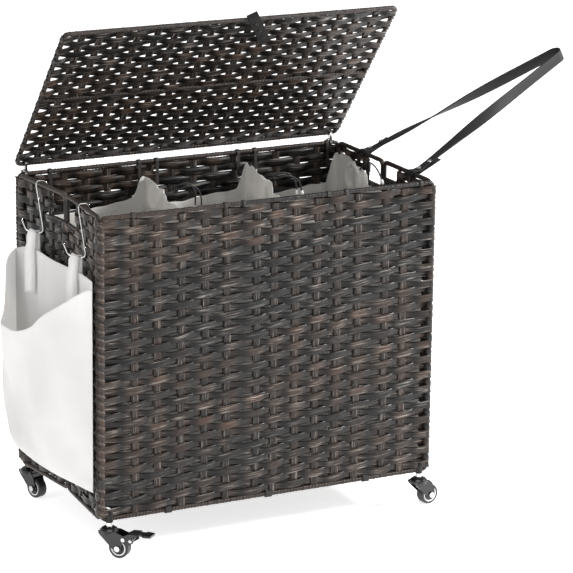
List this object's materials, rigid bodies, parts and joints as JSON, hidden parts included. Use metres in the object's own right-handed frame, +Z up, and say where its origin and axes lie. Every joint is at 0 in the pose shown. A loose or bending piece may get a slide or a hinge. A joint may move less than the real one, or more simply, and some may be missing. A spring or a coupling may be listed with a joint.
{
  "type": "laundry sorter",
  "caption": "Rolling woven-cane laundry basket with a hinged lid, fabric liners, a side bag on wire hooks, folding sides, a leather pull strap and swivel casters.",
  "frame": {"origin": "on the floor, below the middle of the basket's plan", "axes": "+Z up, +X to the right towards the pull strap, -Y towards the front"},
  "size_m": [1.1229, 0.4528, 0.9251],
  "materials": {
    "wound_cane": "dark brown plastic cane wound on a steel rod",
    "woven_cane": "brown and charcoal plastic cane, woven",
    "tie_strip": "black plastic strip",
    "liner_cloth": "light grey polyester cotton",
    "bag_cloth": "off-white polyester cotton",
    "black_cord": "braided black cord",
    "white_tip": "white end cap",
    "painted_steel": "dark grey paint",
    "bright_steel": "plated, bright",
    "dark_leather": "dark grey, fine grain",
    "black_nylon": "moulded, satin",
    "grey_nylon": "moulded, light grey",
    "black_tyre": "moulded polyurethane, satin"
  },
  "bodies": {
    "basket": {"front_frame": "wound_cane", "rear_frame": "wound_cane", "left_front_frame": "wound_cane", "left_rear_frame": "wound_cane", "right_front_frame": "wound_cane", "right_rear_frame": "wound_cane", "base_frame": "wound_cane", "front_weave": "woven_cane", "rear_weave": "woven_cane", "left_front_weave": "woven_cane", "left_rear_weave": "woven_cane", "right_front_weave": "woven_cane", "right_rear_weave": "woven_cane", "base_board": "woven_cane", "panel_tie_loops": "tie_strip", "base_loops": "tie_strip", "liner_ties": "tie_strip", "liner_left": "liner_cloth", "liner_middle": "liner_cloth", "liner_right": "liner_cloth", "drawcord_left_a": "black_cord", "drawcord_left_b": "black_cord", "drawcord_middle_a": "black_cord", "drawcord_middle_b": "black_cord", "drawcord_right_a": "black_cord", "drawcord_tips": "white_tip", "lid_hinge_brackets": "painted_steel", "lid_hinge_pins": "bright_steel", "caster_stems": "bright_steel"},
    "lid": {"lid_frame": "wound_cane", "lid_weave": "woven_cane", "lid_hinge_arms": "painted_steel", "lid_pull": "dark_leather", "lid_pull_rivets": "bright_steel"},
    "pull_strap": {"pull_strap": "dark_leather", "pull_strap_rivets": "bright_steel"},
    "side_bag": {"side_bag": "bag_cloth", "side_bag_loops": "bag_cloth", "s_hooks": "bright_steel"},
    "caster_fl_swivel": {"caster_fl_fork": "black_nylon", "caster_fl_axle": "bright_steel", "caster_fl_brake_pivot": "bright_steel"},
    "caster_fl_roller": {"caster_fl_wheel": "grey_nylon", "caster_fl_tyre": "black_tyre"},
    "caster_fl_brake": {"caster_fl_pedal": "black_nylon"},
    "caster_fr_swivel": {"caster_fr_fork": "black_nylon", "caster_fr_axle": "bright_steel"},
    "caster_fr_roller": {"caster_fr_wheel": "grey_nylon", "caster_fr_tyre": "black_tyre"},
    "caster_rl_swivel": {"caster_rl_fork": "black_nylon", "caster_rl_axle": "bright_steel"},
    "caster_rl_roller": {"caster_rl_wheel": "grey_nylon", "caster_rl_tyre": "black_tyre"},
    "caster_rr_swivel": {"caster_rr_fork": "black_nylon", "caster_rr_axle": "bright_steel", "caster_rr_brake_pivot": "bright_steel"},
    "caster_rr_roller": {"caster_rr_wheel": "grey_nylon", "caster_rr_tyre": "black_tyre"},
    "caster_rr_brake": {"caster_rr_pedal": "black_nylon"}
  },
  "joints": [
    {"name": "lid_hinge", "type": "hinge", "parent": "basket", "child": "lid", "pos_m": [0, 0.191, 0.6175], "axis": [1, 0, 0], "range_deg": [-52, 51]},
    {"name": "strap_swing", "type": "hinge", "parent": "basket", "child": "pull_strap", "pos_m": [0.328, -0.0165, 0.6145], "axis": [0, -1, 0], "range_deg": [-80, 18]},
    {"name": "bag_swing", "type": "hinge", "parent": "basket", "child": "side_bag", "pos_m": [-0.321, 0, 0.6145], "axis": [0, 1, 0], "range_deg": [0, 25]},
    {"name": "front_left_swivel", "type": "hinge", "parent": "basket", "child": "caster_fl_swivel", "pos_m": [-0.314, -0.1815, 0.05], "axis": [0, 0, 1], "continuous": true},
    {"name": "front_left_roll", "type": "hinge", "parent": "caster_fl_swivel", "child": "caster_fl_roller", "pos_m": [-0.30022, -0.19735, 0.019], "axis": [0.7547, 0.6561, 0], "continuous": true},
    {"name": "front_left_brake", "type": "hinge", "parent": "caster_fl_swivel", "child": "caster_fl_brake", "pos_m": [-0.29235, -0.20641, 0.038], "axis": [0.7547, 0.6561, 0], "range_deg": [0, 9]},
    {"name": "front_right_swivel", "type": "hinge", "parent": "basket", "child": "caster_fr_swivel", "pos_m": [0.314, -0.1815, 0.05], "axis": [0, 0, 1], "continuous": true},
    {"name": "front_right_roll", "type": "hinge", "parent": "caster_fr_swivel", "child": "caster_fr_roller", "pos_m": [0.3348, -0.17858, 0.019], "axis": [-0.1392, 0.9903, 0], "continuous": true},
    {"name": "rear_left_swivel", "type": "hinge", "parent": "basket", "child": "caster_rl_swivel", "pos_m": [-0.314, 0.1815, 0.05], "axis": [0, 0, 1], "continuous": true},
    {"name": "rear_left_roll", "type": "hinge", "parent": "caster_rl_swivel", "child": "caster_rl_roller", "pos_m": [-0.30751, 0.16153, 0.019], "axis": [0.9511, 0.309, 0], "continuous": true},
    {"name": "rear_right_swivel", "type": "hinge", "parent": "basket", "child": "caster_rr_swivel", "pos_m": [0.314, 0.1815, 0.05], "axis": [0, 0, 1], "continuous": true},
    {"name": "rear_right_roll", "type": "hinge", "parent": "caster_rr_swivel", "child": "caster_rr_roller", "pos_m": [0.3312, 0.16945, 0.019], "axis": [0.5736, 0.8192, 0], "continuous": true},
    {"name": "rear_right_brake", "type": "hinge", "parent": "caster_rr_swivel", "child": "caster_rr_brake", "pos_m": [0.34103, 0.16257, 0.038], "axis": [0.5736, 0.8192, 0], "range_deg": [0, 9]}
  ]
}
